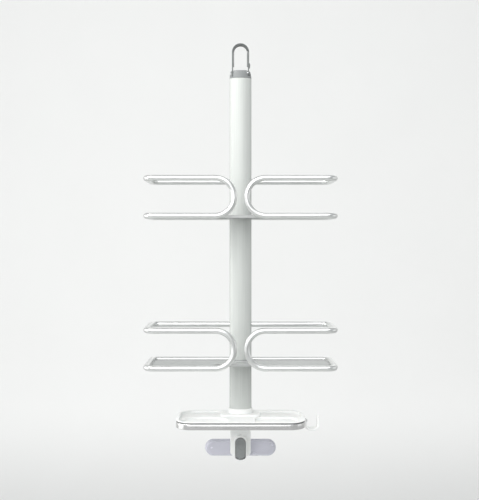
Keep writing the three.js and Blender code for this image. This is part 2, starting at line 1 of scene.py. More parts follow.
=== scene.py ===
"""The looks of a hanging shower caddy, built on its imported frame. Lengths are in millimetres."""
import math

import bmesh
import bpy
from mathutils import Matrix, Vector


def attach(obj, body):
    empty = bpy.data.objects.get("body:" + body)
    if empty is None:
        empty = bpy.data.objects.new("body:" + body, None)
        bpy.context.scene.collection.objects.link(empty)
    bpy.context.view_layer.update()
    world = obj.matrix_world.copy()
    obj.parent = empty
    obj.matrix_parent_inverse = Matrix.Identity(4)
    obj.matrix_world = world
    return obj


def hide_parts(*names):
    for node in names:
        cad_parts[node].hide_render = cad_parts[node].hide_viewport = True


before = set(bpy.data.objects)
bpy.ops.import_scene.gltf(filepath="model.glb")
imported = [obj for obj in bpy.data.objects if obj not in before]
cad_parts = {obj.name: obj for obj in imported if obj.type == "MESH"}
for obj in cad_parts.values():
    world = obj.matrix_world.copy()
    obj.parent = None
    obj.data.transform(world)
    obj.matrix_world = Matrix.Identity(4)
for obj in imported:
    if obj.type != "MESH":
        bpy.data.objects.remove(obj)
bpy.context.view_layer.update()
scene = bpy.context.scene
scene.view_settings.view_transform = "Standard"

MM = 0.001

# ---- Dimensions ---------------------------------------------------------------------------
GAP = 0.3
WALL_Y = 25.75
POLE = dict(half_width=18.5, half_depth=8.75, corner=5.0, wall=1.5, slot=6.0, top=-44.0, bottom=-611.0)
HOOK = dict(outer=14.4, band=2.0, liner=1.2, half_depth=5.0, foot=-41.0, tip=8.0)
CAP_TOP = -31.0
GATE = dict(x=12.2, z=-35.6, hub=3.8, top=1.3)
TUBE = 4.75
RAIL = dict(outer_x=155.5, rear=15.75, front=-79.25, corner=12.75, spacing=60.0, bend_x=40.0, root_x=4.0)
HEIGHTS = dict(upper=-276.8, lower=-518.7)
PLATE = dict(top=0.3, floor=1.6, rim_top=2.1, rim_bottom=-2.8, rim=1.6, notch_front=-45.25)
PLATE_SLOTS = dict(rows=(-66, -57), columns=(-116, -76, 76, 116), half_length=17, half_width=2)
BUSH = 1.2
CARRIAGE = dict(half_width=17.0, front=9.15, rear=22.3, above=9.0)
TONGUE = dict(half_width=8.5, half_height=8, inset=2)
COVER = dict(half_width=16.6, thick=1.5, inset=0.4)
BUTTON = dict(inner=6.0, shoulder=14.2, outer=18.3, half=8.2, pad_half=6.0, z=30.0)
COVER_SCREWS = dict(low=12.0, high=48.0)
GRUB_X = 10.0
TRAY = dict(half_width=104.0, front=-82.25, rear=13.75, front_corner=26.0, rear_corner=28.0)
TRAY_LIP, TRAY_FLOOR, TRAY_BASE = -604.0, -609.0, -616.0
COLLAR_TOP, COLLAR_GROWTH = -598.0, 2.0
# The dark strip along the seam between the tray's lip and the trim is painted shade: a dark grey band
# standing in for the seam's shadow.
SEAM_SHADE_STRIP = dict(top=-605.2, bottom=-606.7, set_back=0.25)
TRIM = dict(thickness=2.0, top=-607.0, end_y=-44.3)
WELLS = (dict(x=-58.0, half_x=38.0, corner=24.0), dict(x=58.0, half_x=34.0, corner=12.8))
WELL = dict(front=-71.0, rear=-19.0, depth=3.4)
DRAINS = dict(y=-66.5, offsets=(-11.0, 11.0), half_length=8, half_width=1.75)
PLATFORM = dict(half_width=33, front=-17, height=3, corner=8)
SIDE_HOOK = dict(left=104.4, right=128.5, bottom=-626.0, tip=-604.5, thick=3.3, bend=9.0)
SIDE_HOOK_PAD = dict(y=-35.0, half_width=7.0, bottom=-615.0, screw_z=-611.0)
STEM = dict(half_width=17.2, front=-8.25, rear=12.0, bottom=-677.4)
BEZEL = dict(half_width=10.75, top=-640.4, bottom=-681.4, front=-20.25)
LEVER = dict(half_width=8.5, top=-643.4, bottom=-678.1, front=-21.45, thick=4.5)
PIVOT = dict(y=-16.5, z=-670.5, hub=4.6)
CUP = dict(half_length=58.5, half_height=12.3, z=-670.5)
FLANGE = dict(half_width=30.0, rear=8.6, top=-611.3, thick=3.0)
TRAY_SCREW_X = 25.0
TRAY_SCREW_Z = -614.6
PLUG_CLEARANCE = 0.4
PIN = 1.5
PIN_HOLE = 1.8
SCREW_HOLE = 1.8
STEM_HOLE = 3.4


# ---- Outlines -----------------------------------------------------------------------------
def arc(cx, cy, rx, ry, start, end, steps):
    """Points along an elliptical arc, both ends included."""
    angles = [math.radians(start + (end - start) * i / steps) for i in range(steps + 1)]
    return [(cx + rx * math.cos(a), cy + ry * math.sin(a)) for a in angles]


def circle(cx, cy, r, sides=48):
    """A round outline, without a repeated last point."""
    return arc(cx, cy, r, r, 0, 360, sides)[:-1]


def rectangle(x0, y0, x1, y1):
    return [(x0, y0), (x1, y0), (x1, y1), (x0, y1)]


def rounded(x0, y0, x1, y1, low, high=None, steps=10):
    """A rectangle with one radius at its low-y corners and another at its high-y corners."""
    high = low if high is None else high
    return (
        arc(x0 + low, y0 + low, low, low, 180, 270, steps)
        + arc(x1 - low, y0 + low, low, low, 270, 360, steps)
        + arc(x1 - high, y1 - high, high, high, 0, 90, steps)
        + arc(x0 + high, y1 - high, high, high, 90, 180, steps)
    )


def stadium(cx, cy, half_length, half_width, upright=False, steps=20):
    """A bar with fully round ends, lying along x or standing along y."""
    reach = half_length - half_width
    points = arc(reach, 0, half_width, half_width, -90, 90, steps)
    points += arc(-reach, 0, half_width, half_width, 90, 270, steps)
    if upright:
        points = [(-y, x) for x, y in points]
    return [(cx + x, cy + y) for x, y in points]


def mirrored(outline):
    """The outline on the other side of the y axis, wound the same way."""
    return [(-x, y) for x, y in reversed(outline)]


def tidy(outline):
    """Drops repeated points and winds the outline anticlockwise."""
    kept = [p for i, p in enumerate(outline) if math.dist(p, outline[i - 1]) > 1e-4]
    twice_area = sum(
        kept[i - 1][0] * y - x * kept[i - 1][1] for i, (x, y) in enumerate(kept)
    )
    return kept if twice_area > 0 else kept[::-1]


def soften(outline, radius, steps=3):
    """Rounds each sharp corner of an outline."""
    made = []
    count = len(outline)
    for i in range(count):
        before, here, after = (Vector(outline[(i + k) % count]) for k in (-1, 0, 1))
        into, out = here - before, after - here
        turn = into.angle_signed(out, 0)
        if abs(turn) < math.radians(28):
            made.append(tuple(here))
            continue
        back = min(radius * math.tan(abs(turn) / 2), 0.45 * into.length, 0.45 * out.length)
        start, end = here - into.normalized() * back, here + out.normalized() * back
        for k in range(steps + 1):
            t = k / steps
            made.append(tuple(start * (1 - t) ** 2 + here * (2 * t * (1 - t)) + end * t * t))
    return made


def inset(outline, amount):
    """An anticlockwise outline moved inwards, or outwards for a negative amount."""
    moved = []
    for i, here in enumerate(outline):
        before, after = outline[i - 1], outline[(i + 1) % len(outline)]
        a = Vector((here[0] - before[0], here[1] - before[1])).normalized()
        b = Vector((after[0] - here[0], after[1] - here[1])).normalized()
        normal_a, normal_b = Vector((-a.y, a.x)), Vector((-b.y, b.x))
        shift = (normal_a + normal_b) / (1 + normal_a.dot(normal_b)) * amount
        moved.append((here[0] + shift.x, here[1] + shift.y))
    return moved


# ---- Solids -------------------------------------------------------------------------------
PLACE = {
    "x": lambda u, v, w: (w, u, v),
    "y": lambda u, v, w: (u, w, v),
    "z": lambda u, v, w: (u, v, w),
}


def to_object(bm):
    """An object made from a bmesh, its normals pointing outwards."""
    bmesh.ops.recalc_face_normals(bm, faces=bm.faces)
    mesh = bpy.data.meshes.new("solid")
    bm.to_mesh(mesh)
    bm.free()
    made = bpy.data.objects.new("solid", mesh)
    scene.collection.objects.link(made)
    return made


def skin(rings):
    """A solid through rings of points, capped at both ends."""
    bm = bmesh.new()
    made = [[bm.verts.new(p) for p in ring] for ring in rings]
    for low, high in zip(made, made[1:]):
        for i in range(len(low)):
            bm.faces.new((low[i - 1], low[i], high[i], high[i - 1]))
    bm.faces.new(made[0][::-1])
    bm.faces.new(made[-1])
    return to_object(bm)


def stack(axis, outline, levels):
    """A solid from one outline repeated at (level, inset) pairs along an axis."""
    place = PLACE[axis]
    rings = [[place(u, v, level) for u, v in inset(outline, amount)] for level, amount in levels]
    return skin(rings)


def quarter(level, radius, way, steps=4):
    """The (level, inset) pairs of a rounded rim that starts at a level and goes one way."""
    if radius == 0:
        return [(level, 0.0)]
    angles = [math.pi / 2 * i / steps for i in range(steps + 1)]
    return [(level + way * radius * (1 - math.cos(a)), radius * (1 - math.sin(a))) for a in angles]


def slab(axis, outline, start, end, rim=0.4, rim_end=None, soft=0.6):
    """An outline extruded along an axis, with rounded rims and softened corners."""
    rim_end = rim if rim_end is None else rim_end
    outline = tidy(outline)
    if soft:
        outline = soften(outline, soft)
    levels = quarter(start, rim, 1) + quarter(end, rim_end, -1)[::-1]
    return stack(axis, outline, levels)


def cutter(axis, outline, start, end, mouth=None, flare=0.5, bottom=0.0):
    """A cutting solid whose wall flares out where it leaves the surface at level mouth."""
    outline = tidy(outline)
    way = 1 if end > start else -1
    levels = quarter(start, bottom, way)
    if mouth is not None:
        rim = quarter(0, flare, 1)
        levels += [(mouth - way * flare + way * (flare - d), -a) for d, a in rim[::-1]]
        levels.append((end, -flare))
    else:
        levels.append((end, 0.0))
    return stack(axis, outline, levels)


def combine(target, operation, tools):
    """Applies boolean operations one after another and removes their tools."""
    for tool in tools:
        modifier = target.modifiers.new("combine", "BOOLEAN")
        modifier.operation = operation
        modifier.solver = "EXACT"
        modifier.object = tool
        depsgraph = bpy.context.evaluated_depsgraph_get()
        result = bpy.data.meshes.new_from_object(target.evaluated_get(depsgraph))
        target.modifiers.clear()
        target.data = result
        bpy.data.objects.remove(tool)
    return target


def cut(target, *tools):
    return combine(target, "DIFFERENCE", tools)


def join(target, *others):
    return combine(target, "UNION", others)


def sweep(path, radius, sides=32, rim=0.4):
    """A round bar along a path, with rounded ends. The ring's turn is carried from step to step."""
    points = [Vector(p) for p in path]
    last = len(points) - 1
    tangents = [(points[min(i + 1, last)] - points[max(i - 1, 0)]).normalized() for i in range(last + 1)]
    across = tangents[0].orthogonal().normalized()
    frames = []
    for i, tangent in enumerate(tangents):
        if i:
            across.rotate(tangents[i - 1].rotation_difference(tangent))
        frames.append((across.copy(), tangent.cross(across)))

    def ring(i, r, along=0.0):
        a, b = frames[i]
        centre = points[i] + tangents[i] * along
        turns = [2 * math.pi * k / sides for k in range(sides)]
        return [centre + (a * math.cos(t) + b * math.sin(t)) * r for t in turns]

    rings = [ring(0, radius - a, d) for d, a in quarter(0, rim, 1)]
    rings += [ring(i, radius) for i in range(1, last)]
    rings += [ring(last, radius - a, -d) for d, a in quarter(0, rim, 1)[::-1]]
    return skin(rings)


def lathe(profile, origin, direction, sides=40):
    """A turned solid: (radius, distance) pairs round a direction, both ends capped."""
    turn = Vector((0, 0, 1)).rotation_difference(Vector(direction)).to_matrix()
    angles = [2 * math.pi * k / sides for k in range(sides)]
    rings = [
        [turn @ Vector((r * math.cos(a), r * math.sin(a), h)) + Vector(origin) for a in angles]
        for r, h in profile
    ]
    return skin(rings)


def domed(radius, start, end, crown):
    """A lathe profile for a plain pin with crowned ends."""
    bend = [(radius * math.cos(a), crown * math.sin(a)) for a in (0, 0.4, 0.8, 1.15, 1.45)]
    return [(r, start - h) for r, h in bend[::-1]] + [(r, end + h) for r, h in bend]


def pin(centre, axis, half_length, radius=PIN):
    """A plain pin with crowned ends, centred on a point."""
    direction = PLACE[axis](0, 0, 1)
    return lathe(domed(radius, -half_length + 0.4, half_length - 0.4, 0.4), centre, direction)


def pan_screw(origin, axis, way, head_radius, head_height, length, shank_radius=1.45):
    """A pan-head screw with a cross recess. The head's underside is at the origin, facing way."""
    direction = Vector(PLACE[axis](0, 0, way))
    crown = [(1.0, 0.35), (0.93, 0.62), (0.75, 0.86), (0.45, 0.98), (0.12, 1.0)]
    profile = [(shank_radius * 0.7, -length), (shank_radius, -length + 0.6), (shank_radius, 0)]
    profile += [(head_radius * 0.97, 0), (head_radius, head_height * 0.12)]
    profile += [(head_radius * r, head_height * h) for r, h in crown]
    body = lathe(profile, origin, direction)
    arm, half = head_radius * 0.55, head_radius * 0.14
    cross = [(arm, -half), (arm, half), (half, half), (half, arm), (-half, arm), (-half, half)]
    cross += [(-x, -y) for x, y in cross]
    u0, v0, w0 = {"x": (1, 2, 0), "y": (0, 2, 1), "z": (0, 1, 2)}[axis]
    moved = [(origin[u0] + u, origin[v0] + v) for u, v in cross]
    top = origin[w0] + way * head_height
    return cut(body, cutter(axis, moved, top - way * head_height * 0.55, top + way))


def coil(axis, centre, start, end, radius, turns, wire=0.4):
    """A coil spring between two levels along an axis, its end turns lying flat."""
    steps = 28
    path = []
    for i in range(turns * steps + 1):
        t = i / (turns * steps)
        eased = min(1.0, max(0.0, (t * turns - 0.5) / (turns - 1)))
        along = start + wire + (end - start - 2 * wire) * eased
        angle = 2 * math.pi * i / steps
        place = PLACE[axis](radius * math.cos(angle), radius * math.sin(angle), along)
        path.append(Vector(place) + Vector(centre))
    return sweep(path, wire, sides=12, rim=0.1)


# ---- Materials ----------------------------------------------------------------------------
class Finish:
    """A Principled material with procedural grain, colour and gloss."""

    def __init__(self, name, **sockets):
        self.material = bpy.data.materials.new(name)
        self.material.use_nodes = True
        self.tree = self.material.node_tree
        self.shader = self.tree.nodes["Principled BSDF"]
        self.normal = None
        for socket, value in sockets.items():
            self.shader.inputs[socket.replace("_", " ")].default_value = value

    def noise(self, scale, detail=4.0, roughness=0.55):
        """Noise in metres: scale is the number of features per metre along each axis."""
        coordinates = self.tree.nodes.new("ShaderNodeTexCoord")
        mapping = self.tree.nodes.new("ShaderNodeMapping")
        mapping.inputs["Scale"].default_value = scale
        texture = self.tree.nodes.new("ShaderNodeTexNoise")
        texture.inputs["Scale"].default_value = 1.0
        texture.inputs["Detail"].default_value = detail
        texture.inputs["Roughness"].default_value = roughness
        self.tree.links.new(coordinates.outputs["Object"], mapping.inputs["Vector"])
        self.tree.links.new(mapping.outputs["Vector"], texture.inputs["Vector"])
        return texture.outputs["Fac"]

    def bump(self, scale, strength, distance, detail=4.0):
        node = self.tree.nodes.new("ShaderNodeBump")
        node.inputs["Strength"].default_value = strength
        node.inputs["Distance"].default_value = distance * MM
        self.tree.links.new(self.noise(scale, detail), node.inputs["Height"])
        if self.normal:
            self.tree.links.new(self.normal, node.inputs["Normal"])
        self.normal = node.outputs["Normal"]
        self.tree.links.new(self.normal, self.shader.inputs["Normal"])
        return self

    def gloss(self, scale, low, high, detail=3.0):
        node = self.tree.nodes.new("ShaderNodeMapRange")
        node.inputs["From Min"].default_value = 0.3
        node.inputs["From Max"].default_value = 0.7
        node.inputs["To Min"].default_value = low
        node.inputs["To Max"].default_value = high
        self.tree.links.new(self.noise(scale, detail), node.inputs["Value"])
        self.tree.links.new(node.outputs["Result"], self.shader.inputs["Roughness"])
        return self

    def tint(self, scale, first, second, detail=3.0):
        ramp = self.tree.nodes.new("ShaderNodeValToRGB")
        ramp.color_ramp.elements[0].position = 0.32
        ramp.color_ramp.elements[0].color = (*first, 1)
        ramp.color_ramp.elements[1].position = 0.68
        ramp.color_ramp.elements[1].color = (*second, 1)
        self.tree.links.new(self.noise(scale, detail), ramp.inputs["Fac"])
        self.tree.links.new(ramp.outputs["Color"], self.shader.inputs["Base Color"])
        return self


def every_way(scale):
    return (scale, scale, scale)


SCATTER = (0.0015, 0.0012, 0.001)  # metres, for red, green and blue
FINISHES = {
    "pole": Finish("anodised_extrusion", Metallic=0.3, Anisotropic=0.3)
    .tint((700, 700, 10), (0.54, 0.56, 0.54), (0.58, 0.60, 0.58))
    .gloss((900, 900, 25), 0.48, 0.56)
    .bump((1500, 1500, 30), 0.06, 0.02)
    .bump(every_way(30), 0.04, 0.3),
    "anodised_aluminium": Finish("anodised_tube", Metallic=1.0)
    .tint(every_way(60), (0.72, 0.73, 0.72), (0.77, 0.78, 0.77))
    .gloss(every_way(45), 0.28, 0.33, 1.0)
    .bump(every_way(900), 0.03, 0.02),
    "sheet_aluminium": Finish("anodised_sheet", Metallic=0.5)
    .tint((14, 160, 160), (0.44, 0.45, 0.445), (0.50, 0.51, 0.505))
    .gloss((40, 700, 700), 0.42, 0.54)
    .bump((60, 1200, 1200), 0.08, 0.02),
    "polished_trim": Finish("polished_trim", Metallic=0.75)
    .tint(every_way(20), (0.60, 0.60, 0.595), (0.64, 0.64, 0.635))
    .gloss(every_way(45), 0.22, 0.27, 1.0)
    .bump(every_way(60), 0.03, 0.2),
    "grey_hook_metal": Finish("satin_grey_metal", Metallic=0.6)
    .tint(every_way(140), (0.13, 0.141, 0.139), (0.16, 0.171, 0.169))
    .gloss(every_way(90), 0.36, 0.44, 1.0)
    .bump(every_way(1500), 0.08, 0.03),
    "steel_hardware": Finish("plated_steel", Metallic=1.0)
    .tint(every_way(80), (0.56, 0.565, 0.57), (0.60, 0.605, 0.61))
    .gloss(every_way(150), 0.26, 0.31, 1.0)
    .bump(every_way(2500), 0.04, 0.02),
    "white_plastic": Finish("white_moulding", Subsurface_Weight=0.04, Subsurface_Radius=SCATTER)
    .tint(every_way(26), (0.825, 0.835, 0.825), (0.865, 0.87, 0.86))
    .gloss(every_way(45), 0.28, 0.34, 1.0)
    .bump(every_way(900), 0.03, 0.03)
    .bump(every_way(40), 0.04, 0.3),
    "grey_plastic": Finish("grey_moulding")
    .tint(every_way(70), (0.228, 0.240, 0.240), (0.248, 0.260, 0.260))
    .gloss(every_way(500), 0.38, 0.50)
    .bump(every_way(1400), 0.15, 0.04),
    "grey_rubber": Finish("grey_rubber")
    .tint(every_way(200), (0.12, 0.125, 0.125), (0.16, 0.165, 0.165))
    .gloss(every_way(700), 0.60, 0.80)
    .bump(every_way(1600), 0.3, 0.06),
    "clear_vinyl": Finish("clear_vinyl", Transmission_Weight=0.3, IOR=1.45)
    .tint(every_way(60), (0.70, 0.70, 0.78), (0.75, 0.75, 0.83))
    .gloss(every_way(45), 0.23, 0.28, 1.0)
    .bump(every_way(60), 0.04, 0.4),
}


def publish(name, node, solid, slot, body, finish=None, sharp=34):
    """Turns a solid in millimetres into a finished piece that stands for a CAD node."""
    solid.name = solid.data.name = name
    solid.data.transform(Matrix.Scale(MM, 4))
    solid.data.shade_smooth()
    solid.data.set_sharp_from_angle(angle=math.radians(sharp))
    solid.data.materials.clear()
    solid.data.materials.append(FINISHES[finish or slot].material)
    weighted = solid.modifiers.new("weighted_normals", "WEIGHTED_NORMAL")
    weighted.keep_sharp = True
    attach(solid, body)
    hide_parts(node)
    return solid


# ---- Pole ---------------------------------------------------------------------------------
def pole_outline(grow=0.0):
    """The pole's D section: flat back, half-ellipse front."""
    centre_y = POLE["half_depth"] - POLE["corner"]
    corner_x = POLE["half_width"] - POLE["corner"]
    r = POLE["corner"] + grow
    front = (POLE["half_width"] + grow, POLE["half_depth"] + centre_y + grow)
    return (
        arc(-corner_x, centre_y, r, r, 90, 180, 10)
        + arc(0, centre_y, *front, 180, 360, 72)[1:-1]
        + arc(corner_x, centre_y, r, r, 0, 90, 10)
    )


def make_pole():
    slot, rear, wall = POLE["slot"], POLE["half_depth"], POLE["wall"]
    outside = [(-slot, rear)] + pole_outline() + [(slot, rear)]
    inside = [(-slot, rear - wall)] + pole_outline(-wall) + [(slot, rear - wall)]
    return slab("z", outside + inside[::-1], POLE["bottom"], POLE["top"], rim=0.25, soft=0.5)


publish("pole_extrusion", "pole", make_pole(), "anodised_aluminium", "caddy_frame", "pole")


# ---- Head ---------------------------------------------------------------------------------
hook_inner = HOOK["outer"] - HOOK["band"]
liner_outer = hook_inner - GAP
liner_inner = liner_outer - HOOK["liner"]
LINER_BOTTOM = -24.0
LINER_HALF = 4.6
HOOK_SCREW_Z = -37.0


def hook_band(outer, inner, foot, tip):
    """A left leg up to an arch that ends at an angle on the right, in the (x, z) plane."""
    return (
        [(-outer, foot), (-inner, foot)]
        + arc(0, 0, inner, inner, 180, tip, 56)
        + arc(0, 0, outer, outer, tip, 180, 56)
    )


def make_neck_cap():
    """The cap plugged into the pole's top, cut for the strap, the gate, the pin and the screw."""
    base = POLE["top"] + GAP
    sections = ((base, 17.9), (base + 0.35, 18.4), (-38.0, 18.0), (-35.0, 17.5), (-33.0, 17.0))
    sections += ((-31.9, 16.55), (-31.3, 16.1), (CAP_TOP, 15.3))
    rings = []
    for z, half_width in sections:
        scale = half_width / POLE["half_width"]
        rings.append([(x * scale, y * min(1.0, scale + 0.02), z) for x, y in pole_outline()])
    plug = slab("z", pole_outline(-POLE["wall"] - PLUG_CLEARANCE), POLE["top"] - 16, base + 1, rim=0.5)
    depth = HOOK["half_depth"] + GAP
    left = rectangle(-HOOK["outer"] - GAP, -depth, -hook_inner + GAP, depth)
    right = rectangle(7.8, -depth, 20, depth)
    return cut(
        join(skin(rings), plug),
        cutter("z", left, HOOK["foot"] - GAP, CAP_TOP + 2),
        cutter("z", right, -40.0, CAP_TOP + 2),
        cutter("y", circle(GATE["x"], GATE["z"], PIN_HOLE), -12, 12),
        cutter("x", circle(0, HOOK_SCREW_Z, 3.1), -15.8, -20),
    )


def make_gate():
    """The ring's right leg: a strap on a hinge hub, with a grooved thumb lug."""
    x, z, hub, half = GATE["x"], GATE["z"], GATE["hub"], HOOK["half_depth"]
    outer = HOOK["outer"]
    strap = slab("y", rectangle(hook_inner, z, outer, GATE["top"]), -half, half, rim=0.35, soft=0.6)
    lug_outline = [(outer - 1.0, -27.5), (outer + 0.9, -26.4), (outer + 1.7, -24.4), (outer + 1.9, -22)]
    lug_outline += [(outer + 1.5, -19.8), (outer - 1.0, -17.8)]
    lug = slab("y", lug_outline, 0.1 - half, half - 0.1, rim=0.35, soft=0)
    grooves = [
        cutter("y", circle(outer + 2.6, level, 1.0, 20), -half - 1, half + 1)
        for level in (-24.6, -22.8, -21.0)
    ]
    hub_disc = slab("y", circle(x, z, hub), 0.03 - half, 1.2, rim=0.35, soft=0)
    room = cutter("y", circle(x, z, hub + 0.2), 1.5, half + 1)
    hole = cutter("y", circle(x, z, PIN_HOLE), -12, 12)
    return cut(join(cut(strap, room), hub_disc, cut(lug, *grooves)), hole)


strap_half = HOOK["half_depth"]
hook_outline = hook_band(HOOK["outer"], hook_inner, HOOK["foot"], HOOK["tip"])
hook = slab("y", hook_outline, -strap_half, strap_half, rim=0.45, soft=0)
publish("hook_strap", "hanger_hook", hook, "grey_hook_metal", "caddy_frame")
grip_outline = hook_band(liner_outer, liner_inner, LINER_BOTTOM, 12)
grip = slab("y", grip_outline, -LINER_HALF, LINER_HALF, rim=0.3, soft=0)
publish("hook_liner", "hook_grip", grip, "grey_rubber", "caddy_frame")
publish("neck_moulding", "neck_cap", make_neck_cap(), "grey_plastic", "caddy_frame")
publish("sprung_gate", "ring_gate", make_gate(), "grey_hook_metal", "gate")
gate_liner_outline = rectangle(liner_inner, LINER_BOTTOM, liner_outer, -0.5)
gate_liner = slab("y", gate_liner_outline, -LINER_HALF, LINER_HALF, rim=0.3, soft=0.4)
publish("gate_liner", "gate_grip", gate_liner, "grey_rubber", "gate")
gate_axle = pin((GATE["x"], 0, GATE["z"]), "y", 8.2)
publish("gate_axle", "gate_pin", gate_axle, "steel_hardware", "caddy_frame")
torsion = coil("y", (GATE["x"], 0, GATE["z"]), 1.6, 4.9, radius=2.5, turns=4)
publish("torsion_spring", "gate_spring", torsion, "steel_hardware", "caddy_frame")
strap_screw_origin = (-16.1, 0, HOOK_SCREW_Z)
strap_screw = pan_screw(strap_screw_origin, "x", -1, head_radius=2.6, head_height=1.4, length=9)
publish("strap_screw", "hook_screw", strap_screw, "steel_hardware", "caddy_frame")


# ---- Shelf units --------------------------------------------------------------------------
def rail_path(side, height):
    """One rail's centre line: rear, round the side, the front bend, and back below."""
    corner_x = RAIL["outer_x"] - TUBE - RAIL["corner"]
    corner, rear, front = RAIL["corner"], RAIL["rear"], RAIL["front"]
    plan = [(RAIL["root_x"], rear), (GRUB_X, rear)]
    plan += arc(corner_x, rear - corner, corner, corner, 90, 0, 18)
    plan += arc(corner_x, front + corner, corner, corner, 0, -90, 18)
    spacing, bend_x = RAIL["spacing"], RAIL["bend_x"]
    bend = arc(bend_x, spacing / 2, spacing / 2, spacing / 2, 90, 270, 48)
    points = [(x, y, spacing) for x, y in plan]
    points += [(x, front, z) for x, z in bend]
    points += [(x, y, 0) for x, y in reversed(plan)]
    return [(side * x, y, z + height) for x, y, z in points]


def plate_outline(shrink):
    """The plate's outline: notched round the pole at the rear, set back in the middle."""
    rear = RAIL["rear"] - TUBE - GAP - shrink
    front = RAIL["front"] + TUBE + GAP + shrink
    side_x = RAIL["outer_x"] - 2 * TUBE - GAP - shrink
    corner = RAIL["corner"] - TUBE - GAP - shrink
    notch_x = POLE["half_width"] + BUSH + 0.7 + shrink
    notch_y = -POLE["half_depth"] - BUSH - 0.7 - shrink
    set_back = PLATE["notch_front"] + shrink
    a, b, c, d = (56 + shrink, front), (44 + shrink, front), (46, set_back), (30, set_back)
    sweep_in = []
    for i in range(25):
        t = i / 24
        weights = ((1 - t) ** 3, 3 * t * (1 - t) ** 2, 3 * t * t * (1 - t), t**3)
        sweep_in.append(tuple(sum(w * p[k] for w, p in zip(weights, (a, b, c, d))) for k in (0, 1)))
    right = arc(0, 3.75, notch_x, 3.75 - notch_y, -90, 0, 36)[1:] + [(notch_x, rear)]
    right += arc(side_x - corner, rear - corner, corner, corner, 90, 0, 8)
    right += arc(side_x - corner, front + corner, corner, corner, 0, -90, 8)
    right += sweep_in
    return [(0, notch_y)] + right + mirrored(right)


def make_plate(height):
    """A sheet with a raised rim all round and two rows of drain slots behind its front."""
    rim_bottom, rim_top = PLATE["rim_bottom"] + height, PLATE["rim_top"] + height
    top = PLATE["top"] + height
    inner = plate_outline(PLATE["rim"])
    slot_size = PLATE_SLOTS["half_length"], PLATE_SLOTS["half_width"]
    slots = [
        cutter("z", stadium(x, y, *slot_size, steps=8), height - 4, height + 4, mouth=top, flare=0.35)
        for y in PLATE_SLOTS["rows"]
        for x in PLATE_SLOTS["columns"]
    ]
    return cut(
        slab("z", plate_outline(0), rim_bottom, rim_top, rim=0.6, soft=1.2),
        cutter("z", inner, top, rim_top + 2, bottom=1.1),
        cutter("z", inner, top - PLATE["floor"], rim_bottom - 2, bottom=1.1),
        *slots,
    )


def make_bush(height):
    """The plastic liner of the plate's notch: a U round the pole's front and sides."""
    def band(grow, rear):
        x = POLE["half_width"] + grow
        return arc(0, 3.75, x, 12.5 + grow, 180, 360, 60) + [(x, rear), (-x, rear)]

    top = PLATE["rim_top"] + 0.6 + height
    outer = slab("z", band(BUSH + 0.4, 10), PLATE["rim_bottom"] + height, top, rim=0.35)
    return cut(outer, cutter("z", band(0.4, 11), height - 5, top + 2, mouth=top, flare=0.25))


def make_carriage(height):
    """The block behind the pole: tongued into its channel, bored for the rails, hollow for the buttons."""
    half, front, rear, above = (CARRIAGE[k] for k in ("half_width", "front", "rear", "above"))
    spacing, mid = RAIL["spacing"], BUTTON["z"] + height
    outline = rounded(-half, height - above, half, height + spacing + above, 4, steps=12)
    block = slab("y", outline, front, rear, rim=0.6, rim_end=0.8, soft=0)
    slot, lip = POLE["slot"] - 0.4, POLE["half_depth"] - POLE["wall"]
    tongues = []
    wide, tall = TONGUE["half_width"], TONGUE["half_height"]
    for z in (height + TONGUE["inset"], height + spacing - TONGUE["inset"]):
        neck, foot = (rectangle(-x, z - tall, x, z + tall) for x in (slot, wide))
        tongues.append(slab("y", neck, lip - 1, front + 1, rim=0))
        tongues.append(slab("y", foot, lip - 3, lip - GAP, rim=0.3))

    def room(x, y0, y1, half_z):
        return cutter("z", rectangle(-x, y0, x, y1), mid - half_z - GAP, mid + half_z + GAP)

    bores = [
        cutter("x", circle(RAIL["rear"], height + z, TUBE + 0.15), -half - 1, half + 1)
        for z in (0, spacing)
    ]
    grubs = []
    for x in (-GRUB_X, GRUB_X):
        hole = circle(x, RAIL["rear"], 2.3, 32)
        low, high = height - above, height + spacing + above
        grubs.append(cutter("z", hole, height - 4, low - 1, mouth=low, flare=0.3))
        grubs.append(cutter("z", hole, height + spacing + 4, high + 1, mouth=high, flare=0.3))
    return cut(
        join(block, *tongues),
        *bores,
        room(BUTTON["shoulder"] + GAP, 12.6, rear + 1, BUTTON["half"]),
        room(half + 1, 13.5, 21.5, BUTTON["pad_half"]),
        room(7, front - 1, 13, 5.5),
        *grubs,
    )


def make_cover(height):
    """The plate that closes the carriage's back, with grip grooves between its two screws."""
    rear, reach, half = CARRIAGE["rear"], CARRIAGE["above"] - COVER["inset"], COVER["half_width"]
    face = rear + COVER["thick"]
    outline = rounded(-half, height - reach, half, height + RAIL["spacing"] + reach, 3.6, steps=12)
    panel = slab("y", outline, rear + GAP, face, rim=0, rim_end=0.7, soft=0)
    grooves = [
        cutter("y", stadium(0, height + z, 9, 0.7), face - 0.35, rear + 3, mouth=face, flare=0.3)
        for z in (24, 27, 30, 33, 36)
    ]
    holes = [
        cutter("y", circle(0, height + z, SCREW_HOLE), rear, rear + 3) for z in COVER_SCREWS.values()
    ]
    return cut(panel, *grooves, *holes)


